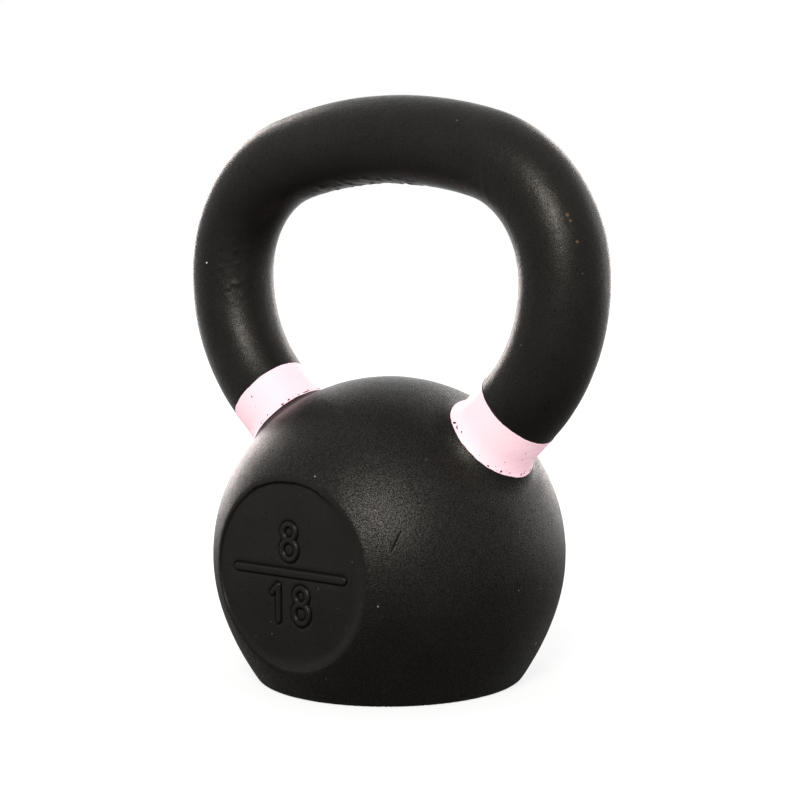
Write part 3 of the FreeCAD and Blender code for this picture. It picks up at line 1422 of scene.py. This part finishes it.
@dataclass
class PaintBand:
    """The ring of paint around one foot, spreading over part of the fillet."""

    side: Side
    form: BallForm
    cast: SandCast
    length: float = 15.5
    foot_radius: float = 16.9
    margin: float = 1.3
    lift: float = 0.14
    bead: float = 0.06
    bead_inset: float = 0.55
    bead_width: float = 0.35
    sunk: float = 0.3
    ragged: float = 0.22
    deep_side_turn: float = 35.0
    thin_share: float = 0.25
    feather: float = 0.3
    around: int = 260
    rows: int = 110
    bend_points: int = 60
    neck_points: int = 30

    def profile(self) -> tuple[np.ndarray, np.ndarray]:
        """The side of an upright foot under the band, from the fillet up the neck.

        Returns:
            Its points, as rows of distance from the axis and height above the ball's centre,
            and its outward directions.
        """
        form = self.form
        rise, reach = form.fillet_centre()
        foot = -math.acos((self.foot_radius - rise) / form.foot_fillet)
        bend = np.linspace(foot + self.margin / form.foot_fillet, -np.pi, self.bend_points)
        circle = form.foot_fillet * np.stack([np.cos(bend), np.sin(bend)], axis=1)
        end = form.radius + self.length + self.margin
        neck = np.linspace(reach, end, self.neck_points)[1:]
        on_neck = np.stack([np.full(len(neck), form.bar_radius), neck], axis=1)
        chain = np.concatenate([circle + [rise, reach], on_neck])
        run = np.concatenate([[0], np.cumsum(np.linalg.norm(np.diff(chain, axis=0), axis=1))])
        even = np.linspace(0, run[-1], self.rows)
        line = np.stack([np.interp(even, run, chain[:, i]) for i in (0, 1)], axis=1)
        slope = np.gradient(line, axis=0)
        slope /= np.linalg.norm(slope, axis=1)[:, None]
        return line, np.stack([slope[:, 1], -slope[:, 0]], axis=1)

    def skin(self) -> tuple[Skin, dict[str, np.ndarray]]:
        """The band as a closed sleeve, with a bead of thicker paint along its edges.

        Returns:
            The mesh, in millimetres, and what the finish reads at each point: its distance
            inside the paint's edges, that from the lower edge alone, and its share of the
            deeper pink on one side of the foot, where the painted glow is also a little dimmer.
        """
        line, outward = self.profile()
        turn = np.linspace(0, 2 * np.pi, self.around, endpoint=False)
        axis = self.form.foot_axis(self.side.value)
        across = np.array([axis[2], 0, -axis[0]])
        spoke = np.cos(turn)[:, None] * across + np.sin(turn)[:, None] * np.array([0, 1, 0])

        def spots(offset: np.ndarray) -> np.ndarray:
            """Points at that offset from the coat, by row and turn."""
            flat = line[:, None, :] + offset[..., None] * outward[:, None, :]
            return self.form.centre() + flat[..., :1] * spoke + flat[..., 1:] * axis

        size = (self.rows, self.around)
        base = spots(np.zeros(size))
        run = np.linalg.norm(np.diff(line, axis=0), axis=1).mean() * np.arange(self.rows)
        noise = Lattice(31 + self.side.value)
        wander = noise.at(base.reshape(-1, 3), 5.0) + 0.5 * noise.at(base.reshape(-1, 3), 1.3)
        wander = self.ragged * wander.reshape(size)
        low = run[:, None] - self.margin - wander
        high = run[-1] - self.margin - run[:, None] - wander
        edge = np.minimum(low, high)
        cover = ease(-self.feather, self.feather, edge)
        relief = self.cast.height(base.reshape(-1, 3)).reshape(size)
        bead = self.bead * np.exp(-(((edge - self.bead_inset) / self.bead_width) ** 2))
        outer = spots(relief - self.sunk / 2 + (self.lift + self.sunk / 2) * cover + bead)
        inner = spots(np.full(size, -self.sunk * 1.6))
        points = np.concatenate([outer.reshape(-1, 3), inner.reshape(-1, 3)])
        faces = []
        half = self.rows * self.around
        for j in range(self.around):
            k = (j + 1) % self.around
            for i in range(self.rows - 1):
                a, b = i * self.around, (i + 1) * self.around
                faces.append((a + j, b + j, b + k, a + k))
                faces.append((half + a + j, half + a + k, half + b + k, half + b + j))
            end = (self.rows - 1) * self.around
            faces.append((j, k, half + k, half + j))
            faces.append((end + j, half + end + j, half + end + k, end + k))
        # the side of each foot that gets the deeper pink
        deep_side = ease(-0.1, 1.0, np.cos(turn - math.radians(self.deep_side_turn)))
        deep_side = deep_side * (1.0 if self.side is Side.RIGHT else self.thin_share)
        values = {"edge": edge, "low": low, "deep_side": np.broadcast_to(deep_side, size)}
        return Skin(points, faces), {k: np.tile(v.reshape(-1), 2) for k, v in values.items()}

    def build(self, finish: BandPaint) -> bpy.types.Object:
        """Builds and dresses the piece.

        Args:
            finish: Its finish.

        Returns:
            The piece.
        """
        name = f"{self.side.name.lower()}_band"
        skin, marks = self.skin()
        thing = made_object(f"{name}_paint", skin)
        for key, values in marks.items():
            set_values(thing, key, values)
        thing.data.materials.append(finish.material())
        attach(thing, "root")
        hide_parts(name)
        return thing


@dataclass
class IronCasting:
    """The casting under the coats, which shows only where its base is ground."""

    form: BallForm
    loop: LoopForm
    clearance: float = 1.2
    mesh_step: float = 2.6
    pad_height: float = 2.5
    pad_rings: int = 24
    pad_edge: float = 0.4
    pad_chamfer: float = 1.0
    around: int = 160
    hollow: float = 0.05
    side_room: float = 30.0
    top_share: float = 2.7

    def core(self) -> Skin:
        """The casting a little inside its coats.

        Returns:
            A closed mesh, in millimetres.
        """
        form = self.form
        side = form.radius + self.side_room
        top = form.centre_height + self.top_share * form.radius
        low = (-side, -form.face_offset - 3.1, -4.7)
        net = Net(low, (side, form.face_offset + 4, top), self.mesh_step)

        def shrunken(points: np.ndarray) -> np.ndarray:
            """Distances to the shrunken casting."""
            both = np.minimum(form.distance(points, 0.0), self.loop.distance(points))
            return both + self.clearance

        return net.wrap(shrunken)

    def pad(self) -> Skin:
        """The ground base: a disc, very slightly hollow, with a chamfered rim.

        Returns:
            A closed mesh, in millimetres.
        """
        rim = self.form.base_rim() - self.form.ground_margin
        rings = np.linspace(0, rim, self.pad_rings)[1:]
        profile = [(r, self.hollow * (1 - (r / rim) ** 2)) for r in rings.tolist()]
        profile += [(rim, self.pad_edge), (rim - self.pad_chamfer, self.pad_height)]
        turn = np.linspace(0, 2 * np.pi, self.around, endpoint=False)
        points = [(0.0, 0.0, self.hollow)]
        points += [(r * math.cos(t), r * math.sin(t), z) for r, z in profile for t in turn.tolist()]
        points.append((0.0, 0.0, self.pad_height))
        faces: list[tuple[int, ...]] = []
        for j in range(self.around):
            k = (j + 1) % self.around
            faces.append((0, 1 + k, 1 + j))
            for i in range(len(profile) - 1):
                a, b = 1 + i * self.around, 1 + (i + 1) * self.around
                faces.append((a + j, a + k, b + k, b + j))
            last = 1 + (len(profile) - 1) * self.around
            faces.append((last + j, last + k, len(points) - 1))
        return Skin(np.array(points), faces)

    def build(self, finish: GroundIron) -> bpy.types.Object:
        """Builds and dresses the piece.

        Args:
            finish: The finish of the ground base.

        Returns:
            The piece.
        """
        core, pad = self.core(), self.pad()
        shift = len(core.points)
        faces = core.faces + [tuple(i + shift for i in face) for face in pad.faces]
        thing = made_object("iron_casting_body", Skin(np.concatenate([core.points, pad.points]), faces))
        thing.data.materials.append(finish.material())
        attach(thing, "root")
        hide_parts("iron_casting")
        return thing


# The studio


@dataclass(frozen=True)
class Softbox:
    """A soft light that looks at the middle of the kettlebell."""

    name: str
    azimuth: float
    elevation: float
    distance: float
    width: float
    height: float
    power: float
    colour: tuple[float, float, float] = (1.0, 0.98, 0.96)

    def hang(self, target: Vector) -> None:
        """Puts the light in the scene.

        Args:
            target: The point that it looks at.
        """
        lamp = bpy.data.lights.new(self.name, "AREA")
        lamp.shape = "RECTANGLE"
        lamp.size, lamp.size_y = self.width, self.height
        lamp.energy = self.power
        lamp.color = self.colour
        thing = bpy.data.objects.new(self.name, lamp)
        back = direction(self.azimuth, self.elevation)
        thing.location = target + back * self.distance
        thing.rotation_euler = back.to_track_quat("Z", "Y").to_euler()
        thing.visible_camera = False
        bpy.context.scene.collection.objects.link(thing)


def direction(azimuth: float, elevation: float) -> Vector:
    """The way from the object to a viewer at that azimuth and elevation, in degrees."""
    a, e = math.radians(azimuth), math.radians(elevation)
    return Vector((math.sin(a) * math.cos(e), -math.cos(a) * math.cos(e), math.sin(e)))


@dataclass(frozen=True)
class Studio:
    """A pale floor, soft lights and the camera."""

    azimuth: float = 38.53
    elevation: float = 5.63
    roll: float = -0.38
    distance: float = 0.6709
    lens: float = 87.0
    aim_across: float = 0.0040
    aim_height: float = 0.0970
    back_wall: tuple[float, float] = (0.84, 0.985)
    room_light: tuple[float, float] = (0.84, 1.9)
    floor_size: float = 8.0
    floor_colour: Colour = (0.17, 0.169, 0.168, 1)
    floor_glow: Ramp = (0.14, 0.5, 0, 0.4)
    floor_glow_behind: Ramp = (0.28, 0.60, 0, 1.4)
    floor_shade: Ramp = (0.09, 0.26, 0.81, 1.0)
    softboxes: tuple[Softbox, ...] = (
        Softbox("key", 31, 31, 1.5, 0.42, 0.42, 22),
        Softbox("fill", 163, 12, 1.6, 0.8, 1.2, 5),
        Softbox("rim_left", -116, 8, 1.6, 0.4, 1.4, 14, (1.0, 0.88, 0.84)),
        Softbox("rim_right", -166, 8, 1.6, 0.4, 1.4, 8, (1.0, 0.90, 0.86)),
    )

    def place_camera(self) -> None:
        """Sets up the camera."""
        lens = bpy.data.cameras.new("camera")
        lens.lens = self.lens
        lens.sensor_width = 36
        lens.clip_start = 0.01
        camera = bpy.data.objects.new("camera", lens)
        back = direction(self.azimuth, self.elevation)
        turn = math.radians(self.azimuth)
        aim = Vector((math.cos(turn), math.sin(turn), 0)) * self.aim_across
        aim.z = self.aim_height
        camera.location = aim + back * self.distance
        look = back.to_track_quat("Z", "Y")
        spin = Vector((0, 0, 1)), math.radians(self.roll)
        camera.rotation_mode = "QUATERNION"
        camera.rotation_quaternion = look @ look.__class__(*spin)
        bpy.context.scene.collection.objects.link(camera)
        bpy.context.scene.camera = camera

    def light_surroundings(self) -> None:
        """A white room that is bright behind the object and dim in front of it."""
        world = bpy.data.worlds.new("studio")
        world.use_nodes = True
        bpy.context.scene.world = world
        tree = world.node_tree
        ground = tree.nodes["Background"]
        seen = tree.nodes.new("ShaderNodeLightPath")
        where = tree.nodes.new("ShaderNodeTexCoord")
        dot = tree.nodes.new("ShaderNodeVectorMath")
        dot.operation = "DOT_PRODUCT"
        dot.inputs[1].default_value = -direction(self.azimuth, 0)
        ramp = tree.nodes.new("ShaderNodeMapRange")
        for key, value in zip(("From Min", "From Max"), self.back_wall, strict=True):
            ramp.inputs[key].default_value = value
        for key, value in zip(("To Min", "To Max"), self.room_light, strict=True):
            ramp.inputs[key].default_value = value
        either = tree.nodes.new("ShaderNodeMix")
        tree.links.new(where.outputs["Generated"], dot.inputs[0])
        tree.links.new(dot.outputs["Value"], ramp.inputs["Value"])
        tree.links.new(seen.outputs["Is Camera Ray"], either.inputs["Factor"])
        tree.links.new(ramp.outputs["Result"], either.inputs["A"])
        either.inputs["B"].default_value = 1.0
        tree.links.new(either.outputs["Result"], ground.inputs["Strength"])
        ground.inputs["Color"].default_value = (1.0, 1.0, 1.0, 1)

    def lay_floor(self) -> bpy.types.Object:
        """Lays the pale floor.

        Returns:
            The floor.
        """
        half = self.floor_size / 2
        corners = [(-half, -half), (half, -half), (half, half), (-half, half)]
        mesh = bpy.data.meshes.new("floor")
        mesh.from_pydata([(x, y, 0) for x, y in corners], [], [(0, 1, 2, 3)])
        mesh.materials.append(self.floor_paper())
        floor = bpy.data.objects.new("floor", mesh)
        bpy.context.scene.collection.objects.link(floor)
        return floor

    def floor_paper(self) -> bpy.types.Material:
        """The floor's paper, which looks white but lights the object less than it shows.

        Returns:
            The material.
        """
        nodes = Nodes("floor_paper")
        nodes.shader.inputs["Base Color"].default_value = self.floor_colour
        nodes.shader.inputs["Roughness"].default_value = 0.9
        nodes.shader.inputs["Specular IOR Level"].default_value = 0.0
        seen = nodes.node("ShaderNodeLightPath").outputs["Is Camera Ray"]
        away = nodes.node("ShaderNodeVectorMath", operation="LENGTH")
        nodes.put(away.inputs[0], nodes.place)
        behind = nodes.node("ShaderNodeVectorMath", operation="DOT_PRODUCT")
        nodes.put(behind.inputs[0], nodes.place)
        behind.inputs[1].default_value = -direction(self.azimuth, 0)
        bright = nodes.ramp(behind.outputs["Value"], *self.floor_glow_behind)
        glow = nodes.node("ShaderNodeMix")
        nodes.put(glow.inputs["Factor"], seen)
        around = nodes.ramp(away.outputs["Value"], *self.floor_glow)
        nodes.put(glow.inputs["A"], nodes.maths("ADD", around, bright))
        nodes.put(glow.inputs["B"], nodes.ramp(away.outputs["Value"], *self.floor_shade))
        nodes.shader.inputs["Emission Color"].default_value = (1, 1, 1, 1)
        nodes.put(nodes.shader.inputs["Emission Strength"], glow.outputs["Result"])
        return nodes.material

    def set_up(self) -> None:
        """Builds the whole studio."""
        self.place_camera()
        self.light_surroundings()
        self.lay_floor()
        for box in self.softboxes:
            box.hang(Vector((0, 0, self.aim_height)))
        bpy.context.scene.view_settings.view_transform = "Standard"


def report(thing: bpy.types.Object) -> None:
    """Logs one finished piece."""
    LOG.info("%s: %d faces", thing.name, len(thing.data.polygons))


def main() -> None:
    """Builds the kettlebell's pieces and the studio around them."""
    logging.basicConfig(level=logging.INFO, format="%(name)s: %(message)s")
    form = BallForm()
    cast = SandCast()
    coat = PowderCoat()
    smooth_coat = PowderCoat(
        "handle_coat", grain_depth=0.07, peel_depth=0.14, sheen_low=0.12, sheen_high=0.25
    )
    paint = BandPaint()
    loop = LoopForm(form)
    report(IronCasting(form, loop).build(GroundIron()))
    report(BellCoat(form, Pocket(form), Marking(form), cast).build(coat))
    report(HandleCoat(loop, cast).build(smooth_coat))
    for side in Side:
        report(PaintBand(side, form, cast).build(paint))
    Studio().set_up()


if __name__ == "__main__":
    main()
